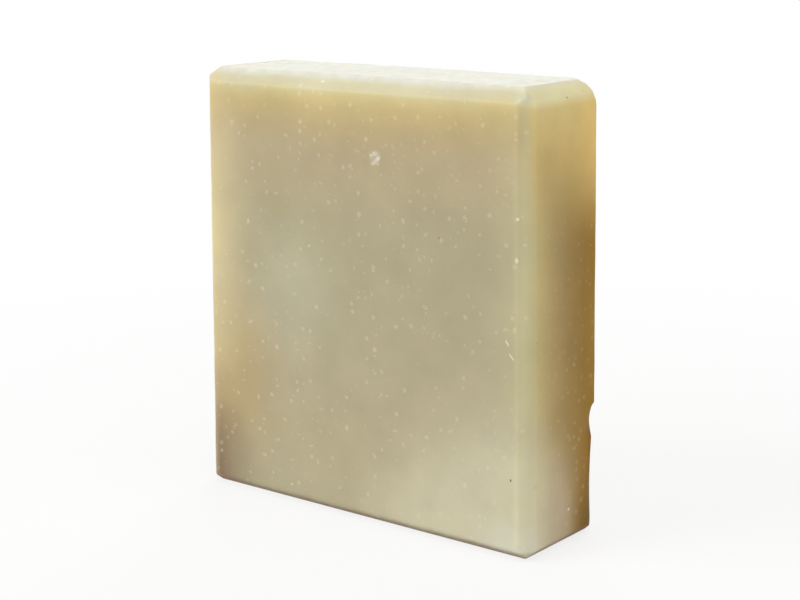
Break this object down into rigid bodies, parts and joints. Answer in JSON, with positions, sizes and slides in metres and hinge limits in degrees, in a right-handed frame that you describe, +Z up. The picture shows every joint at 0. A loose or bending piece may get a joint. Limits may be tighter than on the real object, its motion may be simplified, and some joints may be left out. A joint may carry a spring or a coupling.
{
  "type": "bar of soap",
  "caption": "Upright slice of pale olive handmade soap with planed bevels on every edge, air-bubble specks and a whitish poured top.",
  "frame": {"origin": "in the flat base that the bar stands on, under the middle of its outer size", "axes": "+X across the bar to the pictured right side, +Y through its thickness from the front cut to the back cut, +Z up to the poured top"},
  "size_m": [0.0842, 0.0256, 0.09],
  "materials": {
    "soap": "cured soap, satin, wire-cut faces and planed edges"
  },
  "bodies": {
    "root": {"soap_bar": "soap"}
  },
  "joints": []
}
